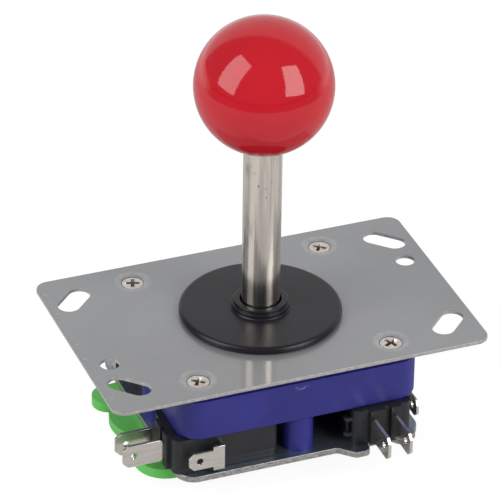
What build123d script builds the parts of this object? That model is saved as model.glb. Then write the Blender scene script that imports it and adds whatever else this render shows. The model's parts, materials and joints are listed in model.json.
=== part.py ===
from build123d import *
from math import atan, cos, degrees, radians, sqrt, tan
import os

# Ball-top arcade lever that hangs under a control panel. Millimetres. The origin is on
# the lever's axis at the top face of the mounting plate, +Z runs up the lever, +X along
# the plate's long side. The ball's diameter of 35 is the size that the rest follows.

os.makedirs("parts", exist_ok=True)

RUN = 0.05  # radial clearance of a pin or a plunger that runs in its hole
SEAT = 0.05  # gap between flat faces of pieces that move on each other

# Ball and shaft
BALL_D = 35.0
BALL_Z = 65.75
BALL_FLAT_R = 6.0
STUD_R = 2.95
STUD_LENGTH = 12.0
STUD_CHAMFER = 0.6
BORE_PAST_STUD = 1.0
SHAFT_R = 4.9
SPINDLE_R = 3.0
SPINDLE_PAST_CLIP = 1.85
LEAN = 9.0  # degrees that the lever leans from upright, front to back and side to side
LEAN_GAP = 0.35  # room left round the lever when it leans both ways at once

# Tilting pivot
PIVOT_DEPTH = 6.0  # from the plate's underside to the middle of the ball
PIVOT_R = 7.9
PIVOT_GAP = 0.15
PIVOT_HALF_HEIGHT = 5.4
PIVOT_STEP = 2.0

# Mounting plate
PLATE_LENGTH = 100.4
PLATE_WIDTH = 63.4
PLATE_THICK = 1.0
PLATE_CORNER = 3.5
PLATE_HOLE_R = 9.0
PLATE_EDGE = 0.2
SLOT_INSET = (7.5, 10.7)  # from the plate's edges to the middle of a slot
SLOT_LENGTH = 11.6
SLOT_WIDTH = 5.8
ROUND_HOLE_INSET = 6.2
ROUND_HOLE_OFF_AXIS = 10.0
ROUND_HOLE_R = 2.5
DISH_R = 4.0
DISH_DEPTH = 0.55

# Countersunk screws
SCREW_INSET = (6.2, 6.0)  # from the housing's edges to the plate screws
SCREW_R = 1.45
SCREW_HEAD_R = 2.75
SCREW_LENGTH = 8.0
SCREW_GAP = 0.07
CROSS_LENGTH = 3.2
CROSS_WIDTH = 0.7
CROSS_DEPTH = 0.9

# Dust disc on the plate and the washer under the plate
DISC_R = 20.75
DISC_THICK = 2.0
DISC_ROUND = 1.1
DISC_UNDER_ROUND = 0.7
DISC_BORE_GAP = 0.3
DISC_THROAT = 0.3  # from the collar's top down to the narrowest place of the bore
COLLAR_R = 7.5
COLLAR_HEIGHT = 1.2
COLLAR_STEP = 0.6
COLLAR_TOP_HEIGHT = 0.85
COLLAR_ROUND = 0.26
WASHER_R = 14.0
WASHER_THICK = 0.8

# Housing
HOUSING_LENGTH = 64.0
HOUSING_WIDTH = 60.4
HOUSING_HEIGHT = 13.25
HOUSING_CORNER = 6.0
HOUSING_WALL = 2.2
HOUSING_FLOOR = 2.5
HOUSING_EDGE = 1.0
CUP_WALL = 3.0
SCREW_BOSS_R = 4.0
RIB_THICK = 1.4
RIB_DROP = 2.4
POST_R = 3.9
FRONT_POST_INSET = 5.0  # from the housing's front edge
FRONT_POST_GAP = 2.4  # from the front switch's far end
SIDE_POST_INSET = 4.0
SIDE_POST_GAP = 0.7

# Switches, lying flat in a pinwheel round the lever. In a switch's own plane x runs from
# the terminal end along the case and y points at the lever.
SWITCH_LENGTH = 27.8
SWITCH_DEPTH = 15.9
SWITCH_THICK = 10.1
FRONT_SWITCH_FACE = 12.7  # from the lever's axis to the case's plunger side
SIDE_SWITCH_FACE = 13.3
FRONT_SWITCH_PAST_HOUSING = 1.5
SIDE_SWITCH_PAST_HOUSING = 1.3
CASE_CORNER = 2.2
COVER_THICK = 2.2
CAVITY_START = 6.0
CAVITY_LENGTH = 16.0
CAVITY_SIDE = 2.2
CAVITY_FLOOR = 1.8
BLOCK_OUT = 1.1
BLOCK_FROM = 4.2
BLOCK_WIDTH = 8.3
BLOCK_GROOVE_FROM = 8.2
BLOCK_GROOVE_WIDTH = 1.6
PEG_R = 1.5
PEG_LENGTH = 8.5
PEG_NEAR = (2.9, -12.9)
PEG_FAR = (24.9, -2.9)

# Lever blade, plunger and leaf spring of each switch
HINGE_AT = (2.4, 0.8)
HINGE_PIN_R = 0.4
HINGE_EAR_R = 1.05
HINGE_EAR_THICK = 1.0
HINGE_EAR_ROOT = 1.0
BLADE_WIDTH = 3.4
BLADE_THICK = 0.4
BLADE_GAP = 0.45  # from the blade to the actuator when the lever leans all the way
BLADE_PAST_AXIS = 3.0
PLUNGER_AT = 11.0
PLUNGER_R = 1.4
PLUNGER_LENGTH = 6.6
PLUNGER_GAP = 0.06
LEAF_THICK = 0.25
LEAF_WIDTH = 4.0
LEAF_GAP = 0.7
LEAF_INSET = 1.0
CONTACT_LENGTH = 1.3
CONTACT_HEIGHT = 1.2

# Terminals: two straight tabs and a bent common one
TAB_WIDTH = 6.3
TAB_THICK = 0.8
TAB_TIP = 1.3
TAB_HOLE_R = 0.85
TAB_HOLE_AT = 2.9
TAB_OUT = 11.85
TAB_NECK = 0.9
TAB_NECK_CUT = 1.0
TAB_ROOT = 8.0
NO_DEPTH = 10.7
NC_DEPTH = 4.9
COM_DEPTH = 18.9
COM_END = 2.7
COM_SHOULDER = 9.2
COM_BEND = 12.2
COM_SHOULDER_WIDTH = 7.0
COM_WIDTH = 4.9
COM_THICK = 0.7
COM_ROOT = 1.0

# Spring seat, spring and actuator
SEAT_WASHER_R = 8.6
SEAT_WASHER_THICK = 0.8
WIRE_R = 0.5
COIL_GAP = 0.5
COIL_TURNS = 3.5
ACTUATOR_R = 7.6
ACTUATOR_WALL = 0.9
ACTUATOR_ABOVE = 2.1  # above and below the middle of the switches
ACTUATOR_BELOW = 2.75
ACTUATOR_TAPER = 1.3
NECK_R = 5.0
NECK_PAST_GATE = 0.65
CLIP_R = 4.6
CLIP_THICK = 0.6
CLIP_GROOVE_R = 2.4
CLIP_MOUTH = 4.1

# Base plate
BASE_PAST_HOUSING = (0.5, 0.6)
BASE_THICK = 1.7
BASE_CORNER = 5.0
EAR_START = 9.2
EAR_SLOPE = 3.8
EAR_END = 17.1
EAR_OUT = 3.6
CORNER_EAR_LENGTH = 7.9
CORNER_EAR_OUT = 1.7
BASE_ROUND = 1.5

# Restrictor gate, with the lobes of its finger grip as centre x, centre y and radius
GATE_THICK = 3.0
GATE_R = 20.5
GATE_OPENING_CORNER = 3.0
GATE_FINGER = 1.1
GATE_RUN = 0.1
GATE_LIP = 0.7
GATE_LIP_THICK = 0.8
GATE_EDGE = 0.5
GRIP_LOBES = ((-36.0, 14.2, 4.3), (-27.0, 2.5, 12.3), (-31.0, -15.0, 8.2))

# Heights, from the plate down
plate_bottom = -PLATE_THICK
pivot_z = plate_bottom - PIVOT_DEPTH
washer_top = plate_bottom - SEAT
cup_top = washer_top - WASHER_THICK - SEAT
rib_top = plate_bottom - RIB_DROP
floor_bottom = plate_bottom - HOUSING_HEIGHT
floor_top = floor_bottom + HOUSING_FLOOR
switch_middle = floor_bottom - SWITCH_THICK / 2
base_top = floor_bottom - SWITCH_THICK
base_bottom = base_top - BASE_THICK
gate_top = base_bottom - SEAT
gate_bottom = gate_top - GATE_THICK
neck_end = gate_bottom - NECK_PAST_GATE
clip_bottom = neck_end - CLIP_THICK
spindle_end = clip_bottom - SPINDLE_PAST_CLIP
ball_flat = BALL_Z - sqrt((BALL_D / 2) ** 2 - BALL_FLAT_R**2)
stud_top = ball_flat + STUD_LENGTH

# Places of the holes, screws and posts
slot_at = (PLATE_LENGTH / 2 - SLOT_INSET[0], PLATE_WIDTH / 2 - SLOT_INSET[1])
round_hole_at = (PLATE_LENGTH / 2 - ROUND_HOLE_INSET, ROUND_HOLE_OFF_AXIS)
screw_at = (HOUSING_LENGTH / 2 - SCREW_INSET[0], HOUSING_WIDTH / 2 - SCREW_INSET[1])
plate_screws_at = [(x * screw_at[0], y * screw_at[1]) for x in (-1, 1) for y in (-1, 1)]
front_start = HOUSING_LENGTH / 2 + FRONT_SWITCH_PAST_HOUSING
side_start = HOUSING_WIDTH / 2 + SIDE_SWITCH_PAST_HOUSING
front_post = (
    SWITCH_LENGTH - front_start + FRONT_POST_GAP + POST_R,
    FRONT_POST_INSET - HOUSING_WIDTH / 2,
)
side_post = (
    HOUSING_LENGTH / 2 - SIDE_POST_INSET,
    SWITCH_LENGTH - side_start + SIDE_POST_GAP + POST_R,
)
posts_at = [(sign * x, sign * y) for x, y in (front_post, side_post) for sign in (1, -1)]


def room_to_lean(radius, z):
    """The radius of hole that a round on the lever needs at a height."""
    sideways = abs(z - pivot_z) * tan(radians(LEAN)) * sqrt(2)
    return radius / cos(radians(LEAN)) + sideways + LEAN_GAP


def switch_plane(turn, start, face):
    """The plane of a switch: its origin is the corner of terminal end and plunger side."""
    middle = Plane(origin=(0, 0, switch_middle), x_dir=(1, 0, 0), z_dir=(0, 0, 1))
    turned = middle.rotated((0, 0, turn))
    corner = turned.from_local_coords((-start, -face, 0))
    return Plane(origin=corner, x_dir=turned.x_dir, z_dir=turned.z_dir)


SWITCHES = {
    "front": (0, front_start, FRONT_SWITCH_FACE),
    "right": (90, side_start, SIDE_SWITCH_FACE),
    "back": (180, front_start, FRONT_SWITCH_FACE),
    "left": (270, side_start, SIDE_SWITCH_FACE),
}


def facing_lever(place, x, y):
    """A plane at a point of a switch's own plane, facing the lever."""
    at = place.from_local_coords((x, y, 0))
    return Plane(origin=at, x_dir=place.x_dir, z_dir=place.y_dir)


def cut_screw_holes(points, head_z, turn=(0, 0, 0)):
    """Cuts countersunk holes for screws with their heads at one height."""
    with Locations(*[Location((x, y, head_z), turn) for x, y in points]):
        CounterSinkHole(
            SCREW_R + SCREW_GAP,
            SCREW_HEAD_R + SCREW_GAP,
            depth=SCREW_LENGTH + 1,
            counter_sink_angle=90,
        )


def countersunk_screws(points, head_z, turn=(0, 0, 0)):
    """Cross-recess screws with their heads at one height, as separate solids."""
    downwards = (Align.CENTER, Align.CENTER, Align.MAX)
    with BuildPart() as screws:
        with Locations(*[Location((x, y, head_z), turn) for x, y in points]):
            Cone(SCREW_R, SCREW_HEAD_R, SCREW_HEAD_R - SCREW_R, align=downwards)
            Cylinder(SCREW_R, SCREW_LENGTH, align=downwards)
            for length, width in ((CROSS_LENGTH, CROSS_WIDTH), (CROSS_WIDTH, CROSS_LENGTH)):
                Box(length, width, CROSS_DEPTH, align=downwards, mode=Mode.SUBTRACT)
    return screws.part


# Mounting plate: corner slots square to the diagonals, two round holes and four dished
# countersinks
with BuildPart() as mounting_plate:
    with BuildSketch(Plane.XY.offset(plate_bottom)):
        RectangleRounded(PLATE_LENGTH, PLATE_WIDTH, PLATE_CORNER)
        Circle(PLATE_HOLE_R, mode=Mode.SUBTRACT)
        for sign in (-1, 1):
            with Locations((sign * round_hole_at[0], sign * round_hole_at[1])):
                Circle(ROUND_HOLE_R, mode=Mode.SUBTRACT)
            for side, turn in ((1, -45), (-1, 45)):
                corner = (sign * slot_at[0], sign * side * slot_at[1], 0)
                with Locations(Location(corner, (0, 0, turn))):
                    SlotOverall(SLOT_LENGTH, SLOT_WIDTH, mode=Mode.SUBTRACT)
    extrude(amount=PLATE_THICK)
    rim = mounting_plate.faces().sort_by(Axis.Z)[-1].outer_wire().edges()
    fillet(rim, PLATE_EDGE)
    cut_screw_holes(plate_screws_at, -DISH_DEPTH)
    with Locations(*[(x, y, -DISH_DEPTH) for x, y in plate_screws_at]):
        Cone(
            SCREW_HEAD_R + SCREW_GAP,
            DISH_R,
            DISH_DEPTH,
            align=(Align.CENTER, Align.CENTER, Align.MIN),
            mode=Mode.SUBTRACT,
        )
mounting_plate.part.label = "mounting_plate"
export_step(mounting_plate.part, "parts/mounting_plate.step")

plate_screws = countersunk_screws(plate_screws_at, -DISH_DEPTH)
plate_screws.label = "plate_screws"
export_step(plate_screws, "parts/plate_screws.step")

# Dust disc: one moulding with a stepped collar, whose bore opens up and down from its
# throat so that the shaft can lean in it
disc_top = SEAT + DISC_THICK
step_top = disc_top + COLLAR_HEIGHT
collar_top = step_top + COLLAR_TOP_HEIGHT
throat_z = collar_top - DISC_THROAT
throat_r = SHAFT_R + DISC_BORE_GAP
bore_widening = tan(radians(LEAN)) * sqrt(2)
with BuildPart() as dust_disc:
    with BuildSketch(Plane.XZ) as disc_profile:
        with BuildLine():
            Polyline(
                (throat_r + (throat_z - SEAT) * bore_widening, SEAT),
                (DISC_R, SEAT),
                (DISC_R, disc_top),
                (COLLAR_R, disc_top),
                (COLLAR_R, step_top),
                (COLLAR_R - COLLAR_STEP, step_top),
                (COLLAR_R - COLLAR_STEP, collar_top),
                (throat_r + DISC_THROAT * bore_widening, collar_top),
                (throat_r, throat_z),
                close=True,
            )
        make_face()
        for end, radius in ((-1, DISC_ROUND), (0, DISC_UNDER_ROUND)):
            rim = disc_profile.vertices().group_by(Axis.X)[-1].sort_by(Axis.Y)
            fillet(rim[end], radius)
    revolve(axis=Axis.Z)
    top_edges = dust_disc.faces().sort_by(Axis.Z)[-1].outer_wire().edges()
    fillet(top_edges, COLLAR_ROUND)
dust_disc.part.label = "dust_disc"
export_step(dust_disc.part, "parts/dust_disc.step")

# Inner dust washer, loose between the plate and the rim of the pivot cup. Its bore clears
# the pivot ball and the way that the washer travels.
ball_r_at_washer = sqrt(PIVOT_R**2 - (washer_top - WASHER_THICK - pivot_z) ** 2)
washer_travel = (throat_z - pivot_z) * tan(radians(LEAN))
with BuildPart() as inner_washer:
    with BuildSketch(Plane.XY.offset(washer_top - WASHER_THICK)):
        Circle(WASHER_R)
        Circle(ball_r_at_washer + washer_travel + LEAN_GAP, mode=Mode.SUBTRACT)
    extrude(amount=WASHER_THICK)
inner_washer.part.label = "inner_washer"
export_step(inner_washer.part, "parts/inner_washer.step")

# Ball top: a ball with a flat at the shaft and a blind tapped bore
with BuildPart() as ball_top:
    with BuildSketch(Plane.XZ):
        with Locations((0, BALL_Z)):
            Circle(BALL_D / 2)
            Rectangle(
                BALL_D, BALL_D, align=(Align.MIN, Align.CENTER), mode=Mode.INTERSECT
            )
        with Locations((0, ball_flat)):
            Rectangle(BALL_D, BALL_D, align=(Align.MIN, Align.MAX), mode=Mode.SUBTRACT)
            Rectangle(
                STUD_R + RUN,
                STUD_LENGTH + BORE_PAST_STUD,
                align=(Align.MIN, Align.MIN),
                mode=Mode.SUBTRACT,
            )
    revolve(axis=Axis.Z)
ball_top.part.label = "ball_top"
export_step(ball_top.part, "parts/ball_top.step")

# Shaft: threaded stud, polished stem, and a thinner spindle from inside the pivot ball
# down to the groove of the retaining clip
with BuildPart() as shaft:
    with BuildSketch(Plane.XZ):
        with BuildLine():
            Polyline(
                (0, stud_top),
                (STUD_R - STUD_CHAMFER, stud_top),
                (STUD_R, stud_top - STUD_CHAMFER),
                (STUD_R, ball_flat),
                (SHAFT_R, ball_flat),
                (SHAFT_R, pivot_z - PIVOT_STEP),
                (SPINDLE_R, pivot_z - PIVOT_STEP),
                (SPINDLE_R, neck_end),
                (CLIP_GROOVE_R, neck_end),
                (CLIP_GROOVE_R, clip_bottom - SEAT),
                (SPINDLE_R, clip_bottom - SEAT),
                (SPINDLE_R, spindle_end + STUD_CHAMFER),
                (SPINDLE_R - STUD_CHAMFER, spindle_end),
                (0, spindle_end),
                close=True,
            )
        make_face()
    revolve(axis=Axis.Z)
shaft.part.label = "shaft"
export_step(shaft.part, "parts/shaft.step")

# Pivot ball: a ball with both ends cut flat, bored in two steps for the shaft
with BuildPart() as pivot_ball:
    with BuildSketch(Plane.XZ):
        with Locations((0, pivot_z)):
            Circle(PIVOT_R)
            Rectangle(
                PIVOT_R,
                2 * PIVOT_HALF_HEIGHT,
                align=(Align.MIN, Align.CENTER),
                mode=Mode.INTERSECT,
            )
        with Locations((0, pivot_z - PIVOT_STEP)):
            Rectangle(
                SHAFT_R, 2 * PIVOT_R, align=(Align.MIN, Align.MIN), mode=Mode.SUBTRACT
            )
            Rectangle(
                SPINDLE_R, 2 * PIVOT_R, align=(Align.MIN, Align.MAX), mode=Mode.SUBTRACT
            )
    revolve(axis=Axis.Z)
pivot_ball.part.label = "pivot_ball"
export_step(pivot_ball.part, "parts/pivot_ball.step")

# Housing: an open tray under the plate with the pivot cup, ribs, screw bosses, four posts
# down to the base plate and a pair of locating pegs for each switch
cup_r = PIVOT_R + PIVOT_GAP
with BuildPart() as housing:
    with BuildSketch(Plane.XY.offset(floor_bottom)):
        RectangleRounded(HOUSING_LENGTH, HOUSING_WIDTH, HOUSING_CORNER)
    extrude(amount=HOUSING_HEIGHT)
    fillet(housing.faces().sort_by(Axis.Z)[0].edges(), HOUSING_EDGE)
    with BuildSketch(Plane.XY.offset(floor_top)):
        RectangleRounded(
            HOUSING_LENGTH - 2 * HOUSING_WALL,
            HOUSING_WIDTH - 2 * HOUSING_WALL,
            HOUSING_CORNER - HOUSING_WALL,
        )
    extrude(amount=plate_bottom - floor_top, mode=Mode.SUBTRACT)
    with BuildSketch(Plane.XY.offset(floor_top)):
        Rectangle(HOUSING_LENGTH - HOUSING_WALL, RIB_THICK)
        Rectangle(RIB_THICK, HOUSING_WIDTH - HOUSING_WALL)
    extrude(amount=rib_top - floor_top)
    with BuildSketch(Plane.XY.offset(floor_top)):
        Circle(cup_r + CUP_WALL)
    extrude(amount=cup_top - floor_top)
    with BuildSketch(Plane.XY.offset(floor_top)):
        with Locations(*plate_screws_at):
            Circle(SCREW_BOSS_R)
    extrude(amount=plate_bottom - floor_top)
    with BuildSketch(Plane.XY.offset(floor_bottom)):
        with Locations(*posts_at):
            Circle(POST_R)
    extrude(amount=base_top - floor_bottom)
    with BuildSketch(Plane.XY.offset(floor_bottom)):
        for place in (switch_plane(*switch) for switch in SWITCHES.values()):
            pegs = [place.from_local_coords((*peg, 0)) for peg in (PEG_NEAR, PEG_FAR)]
            with Locations(*[(peg.X, peg.Y) for peg in pegs]):
                Circle(PEG_R)
    extrude(amount=-PEG_LENGTH)
    with Locations((0, 0, pivot_z)):
        Sphere(cup_r, mode=Mode.SUBTRACT)
        Cylinder(
            cup_r,
            cup_top - pivot_z,
            align=(Align.CENTER, Align.CENTER, Align.MIN),
            mode=Mode.SUBTRACT,
        )
        Cylinder(
            room_to_lean(SPINDLE_R, floor_bottom),
            pivot_z - floor_bottom,
            align=(Align.CENTER, Align.CENTER, Align.MAX),
            mode=Mode.SUBTRACT,
        )
    cut_screw_holes(plate_screws_at, -DISH_DEPTH)
    cut_screw_holes(posts_at, base_bottom, (180, 0, 0))
housing.part.label = "housing"
export_step(housing.part, "parts/housing.step")

# How near the blades stand to the lever: just clear of the actuator when it leans
blade_low = switch_middle - BLADE_WIDTH / 2
blade_near = ACTUATOR_R / cos(radians(LEAN)) + (pivot_z - blade_low) * tan(radians(LEAN))

# Outline of a switch: a rounded box with a grooved block round its tabs and two peg holes
with BuildSketch() as switch_outline:
    Rectangle(SWITCH_LENGTH, SWITCH_DEPTH, align=(Align.MIN, Align.MAX))
    fillet(switch_outline.vertices(), CASE_CORNER)
    with Locations((-BLOCK_OUT, -BLOCK_FROM)):
        Rectangle(2 * BLOCK_OUT, BLOCK_WIDTH, align=(Align.MIN, Align.MAX))
    with Locations((-BLOCK_OUT, -BLOCK_GROOVE_FROM)):
        Rectangle(
            BLOCK_OUT, BLOCK_GROOVE_WIDTH, align=(Align.MIN, Align.MAX), mode=Mode.SUBTRACT
        )
    with Locations(PEG_NEAR, PEG_FAR):
        Circle(PEG_R + RUN, mode=Mode.SUBTRACT)

# The four switches, with the same pieces in each
seam = COVER_THICK - SWITCH_THICK / 2
ear_middle = (BLADE_WIDTH + HINGE_EAR_THICK) / 2 + SEAT
for side, (turn, start, face) in SWITCHES.items():
    place = switch_plane(turn, start, face)
    # Case: a box with hinge ears, bores and a cavity that the cover closes from below
    with BuildPart() as case:
        with BuildSketch(place.offset(seam)):
            add(switch_outline.sketch)
        extrude(amount=SWITCH_THICK - COVER_THICK)
        for level in (-ear_middle, ear_middle):
            with BuildSketch(place.offset(level - HINGE_EAR_THICK / 2)):
                with Locations(HINGE_AT):
                    Circle(HINGE_EAR_R)
                    Rectangle(
                        2 * HINGE_EAR_R,
                        HINGE_AT[1] + HINGE_EAR_ROOT,
                        align=(Align.CENTER, Align.MAX),
                    )
                    Circle(HINGE_PIN_R + RUN, mode=Mode.SUBTRACT)
            extrude(amount=HINGE_EAR_THICK)
        with BuildSketch(place.offset(seam)):
            with Locations((CAVITY_START, -CAVITY_SIDE)):
                Rectangle(
                    CAVITY_LENGTH,
                    SWITCH_DEPTH - 2 * CAVITY_SIDE,
                    align=(Align.MIN, Align.MAX),
                )
        extrude(amount=SWITCH_THICK - COVER_THICK - CAVITY_FLOOR, mode=Mode.SUBTRACT)
        with BuildSketch(facing_lever(place, PLUNGER_AT, -CAVITY_SIDE - 1)):
            Circle(PLUNGER_R + RUN)
        extrude(amount=CAVITY_SIDE + 2, mode=Mode.SUBTRACT)
        for depth in (NO_DEPTH, NC_DEPTH):
            tab_plane = facing_lever(place, -BLOCK_OUT - 1, -depth - TAB_THICK / 2)
            with BuildSketch(tab_plane):
                Rectangle(
                    CAVITY_START + BLOCK_OUT + 2,
                    TAB_WIDTH - 2 * TAB_NECK_CUT,
                    align=(Align.MIN, Align.CENTER),
                )
            extrude(amount=TAB_THICK, mode=Mode.SUBTRACT)
        with BuildSketch(place.offset(seam)):
            with Locations((COM_BEND, -SWITCH_DEPTH - 1)):
                Rectangle(COM_THICK, CAVITY_SIDE + 2, align=(Align.MAX, Align.MIN))
        extrude(amount=COM_SHOULDER_WIDTH / 2 - seam, mode=Mode.SUBTRACT)
    case.part.label = f"{side}_switch_case"
    export_step(case.part, f"parts/{side}_switch_case.step")

    # Cover: the lid under the case, with the lower end of the common terminal's slot
    with BuildPart() as cover:
        with BuildSketch(place.offset(-SWITCH_THICK / 2)):
            add(switch_outline.sketch)
        extrude(amount=COVER_THICK)
        with BuildSketch(place.offset(-COM_SHOULDER_WIDTH / 2)):
            with Locations((COM_BEND, -SWITCH_DEPTH - 1)):
                Rectangle(COM_THICK, CAVITY_SIDE + 2, align=(Align.MAX, Align.MIN))
        extrude(amount=SWITCH_THICK, mode=Mode.SUBTRACT)
    cover.part.label = f"{side}_switch_cover"
    export_step(cover.part, f"parts/{side}_switch_cover.step")

    # Blade: a flat lever on a hinge pin, whose end reaches past the lever's axis
    blade_rest = face - blade_near - BLADE_GAP - BLADE_THICK / 2
    reach = start - HINGE_AT[0]
    slope = (blade_rest - HINGE_AT[1]) / reach
    with BuildPart() as blade:
        with BuildSketch(place.offset(-BLADE_WIDTH / 2)):
            with Locations(Location((*HINGE_AT, 0), (0, 0, degrees(atan(slope))))):
                SlotOverall(
                    reach + BLADE_PAST_AXIS, BLADE_THICK, align=(Align.MIN, Align.CENTER)
                )
                Circle(HINGE_PIN_R + BLADE_THICK / 2)
        extrude(amount=BLADE_WIDTH)
        with BuildSketch(place.offset(-ear_middle - HINGE_EAR_THICK / 2)):
            with Locations(HINGE_AT):
                Circle(HINGE_PIN_R)
        extrude(amount=2 * ear_middle + HINGE_EAR_THICK)
    blade.part.label = f"{side}_switch_blade"
    export_step(blade.part, f"parts/{side}_switch_blade.step")

    # Plunger: a domed pin between the blade and the leaf spring
    blade_over_plunger = HINGE_AT[1] + slope * (PLUNGER_AT - HINGE_AT[0])
    plunger_top = blade_over_plunger - BLADE_THICK / 2 - PLUNGER_GAP
    with BuildPart() as plunger:
        with BuildSketch(facing_lever(place, PLUNGER_AT, plunger_top)):
            Circle(PLUNGER_R)
        extrude(amount=-PLUNGER_LENGTH)
        crown = plunger.faces().sort_by(Axis(place.origin, place.y_dir))[-1]
        fillet(crown.edges(), PLUNGER_R / 2)
    plunger.part.label = f"{side}_switch_plunger"
    export_step(plunger.part, f"parts/{side}_switch_plunger.step")

    # Leaf spring with its moving contact, under the plunger
    leaf_top = plunger_top - PLUNGER_LENGTH - LEAF_GAP
    with BuildPart() as leaf:
        with BuildSketch(place.offset(-LEAF_WIDTH / 2)):
            with Locations((CAVITY_START + LEAF_INSET, leaf_top - LEAF_THICK / 2)):
                Rectangle(
                    CAVITY_LENGTH - LEAF_INSET,
                    LEAF_THICK,
                    align=(Align.MIN, Align.CENTER),
                )
                Rectangle(
                    CONTACT_LENGTH, CONTACT_HEIGHT, align=(Align.MIN, Align.CENTER)
                )
        extrude(amount=LEAF_WIDTH)
    leaf.part.label = f"{side}_switch_leaf"
    export_step(leaf.part, f"parts/{side}_switch_leaf.step")

    # Normally open and normally closed tabs, straight out of the terminal end
    for name, depth in (("no", NO_DEPTH), ("nc", NC_DEPTH)):
        half = TAB_WIDTH / 2
        neck = half - TAB_NECK_CUT
        block = TAB_OUT - BLOCK_OUT
        root = TAB_OUT + TAB_ROOT
        with BuildPart() as tab:
            with BuildSketch(facing_lever(place, -TAB_OUT, -depth - TAB_THICK / 2)):
                with BuildLine():
                    Polyline(
                        (0, -half + TAB_TIP),
                        (TAB_TIP, -half),
                        (block - TAB_NECK, -half),
                        (block, -neck),
                        (root, -neck),
                        (root, neck),
                        (block, neck),
                        (block - TAB_NECK, half),
                        (TAB_TIP, half),
                        (0, half - TAB_TIP),
                        close=True,
                    )
                make_face()
                with Locations((TAB_HOLE_AT, 0)):
                    Circle(TAB_HOLE_R, mode=Mode.SUBTRACT)
            extrude(amount=TAB_THICK)
        tab.part.label = f"{side}_switch_{name}_terminal"
        export_step(tab.part, f"parts/{side}_switch_{name}_terminal.step")

    # Common terminal: out of the far side and bent to lie along it
    with BuildPart() as com:
        with BuildSketch(place.offset(-COM_SHOULDER_WIDTH / 2)):
            with BuildLine():
                Polyline(
                    (COM_END, -COM_DEPTH),
                    (COM_BEND, -COM_DEPTH),
                    (COM_BEND, COM_ROOT + CAVITY_SIDE - SWITCH_DEPTH),
                    (COM_BEND - COM_THICK, COM_ROOT + CAVITY_SIDE - SWITCH_DEPTH),
                    (COM_BEND - COM_THICK, COM_THICK - COM_DEPTH),
                    (COM_END, COM_THICK - COM_DEPTH),
                    close=True,
                )
            make_face()
        extrude(amount=COM_SHOULDER_WIDTH)
        with BuildSketch(facing_lever(place, COM_END, -COM_DEPTH)):
            for sign in (-1, 1):
                with BuildLine():
                    half = sign * COM_WIDTH / 2
                    Polyline(
                        (0, half - sign * TAB_TIP),
                        (TAB_TIP, half),
                        (COM_SHOULDER - COM_END, half),
                        (COM_SHOULDER - COM_END, 2 * half),
                        (0, 2 * half),
                        close=True,
                    )
                make_face()
            with Locations((TAB_HOLE_AT, 0)):
                Circle(TAB_HOLE_R)
        extrude(amount=COM_THICK, mode=Mode.SUBTRACT)
    com.part.label = f"{side}_switch_com_terminal"
    export_step(com.part, f"parts/{side}_switch_com_terminal.step")

# Spring seat: a washer under the housing's floor
seat_bottom = floor_bottom - SEAT_WASHER_THICK
with BuildPart() as spring_seat:
    with BuildSketch(Plane.XY.offset(seat_bottom)):
        Circle(SEAT_WASHER_R)
        Circle(room_to_lean(SPINDLE_R, seat_bottom), mode=Mode.SUBTRACT)
    extrude(amount=SEAT_WASHER_THICK)
spring_seat.part.label = "spring_seat"
export_step(spring_seat.part, "parts/spring_seat.step")

# Centring spring between its seat and the floor of the actuator
actuator_floor = switch_middle - ACTUATOR_BELOW
coil_r = ACTUATOR_R - ACTUATOR_WALL - COIL_GAP - WIRE_R
coil_bottom = actuator_floor + WIRE_R + SEAT
coil_height = seat_bottom - WIRE_R - SEAT - coil_bottom
with BuildPart() as centring_spring:
    with BuildLine() as coil:
        Helix(coil_height / COIL_TURNS, coil_height, coil_r, center=(0, 0, coil_bottom))
    with BuildSketch(Plane(origin=coil.line @ 0, z_dir=coil.line % 0)):
        Circle(WIRE_R)
    sweep()
centring_spring.part.label = "centring_spring"
export_step(centring_spring.part, "parts/centring_spring.step")

# Actuator: a cup that holds the spring, and a neck that runs in the gate's opening
actuator_top = switch_middle + ACTUATOR_ABOVE
with BuildPart() as actuator:
    with BuildSketch(Plane.XZ):
        with BuildLine():
            Polyline(
                (SPINDLE_R, actuator_floor),
                (ACTUATOR_R - ACTUATOR_WALL, actuator_floor),
                (ACTUATOR_R - ACTUATOR_WALL, actuator_top),
                (ACTUATOR_R, actuator_top),
                (ACTUATOR_R, actuator_floor),
                (NECK_R, actuator_floor - ACTUATOR_TAPER),
                (NECK_R, neck_end),
                (SPINDLE_R, neck_end),
                close=True,
            )
        make_face()
    revolve(axis=Axis.Z)
actuator.part.label = "actuator"
export_step(actuator.part, "parts/actuator.step")

# Retaining clip in the spindle's groove
with BuildPart() as retaining_clip:
    with BuildSketch(Plane.XY.offset(clip_bottom)):
        Circle(CLIP_R)
        Circle(CLIP_GROOVE_R, mode=Mode.SUBTRACT)
        Rectangle(
            CLIP_MOUTH, CLIP_R, align=(Align.CENTER, Align.MAX), mode=Mode.SUBTRACT
        )
    extrude(amount=CLIP_THICK)
retaining_clip.part.label = "retaining_clip"
export_step(retaining_clip.part, "parts/retaining_clip.step")


def ear_outlines(half, corner):
    """Outlines of the two ears on a side of the base plate that faces down the page."""
    inside = BASE_CORNER - half
    terminal_ear = [
        (EAR_START, inside),
        (EAR_START, -half),
        (EAR_START + EAR_SLOPE, -half - EAR_OUT),
        (EAR_END, -half - EAR_OUT),
        (EAR_END, inside),
    ]
    corner_ear = [
        (corner - CORNER_EAR_LENGTH, inside),
        (corner - CORNER_EAR_LENGTH, -half - CORNER_EAR_OUT),
        (corner - BASE_CORNER, -half - CORNER_EAR_OUT),
        (corner - CORNER_EAR_OUT, -half),
        (corner - CORNER_EAR_OUT, inside),
    ]
    return terminal_ear, corner_ear


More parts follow.
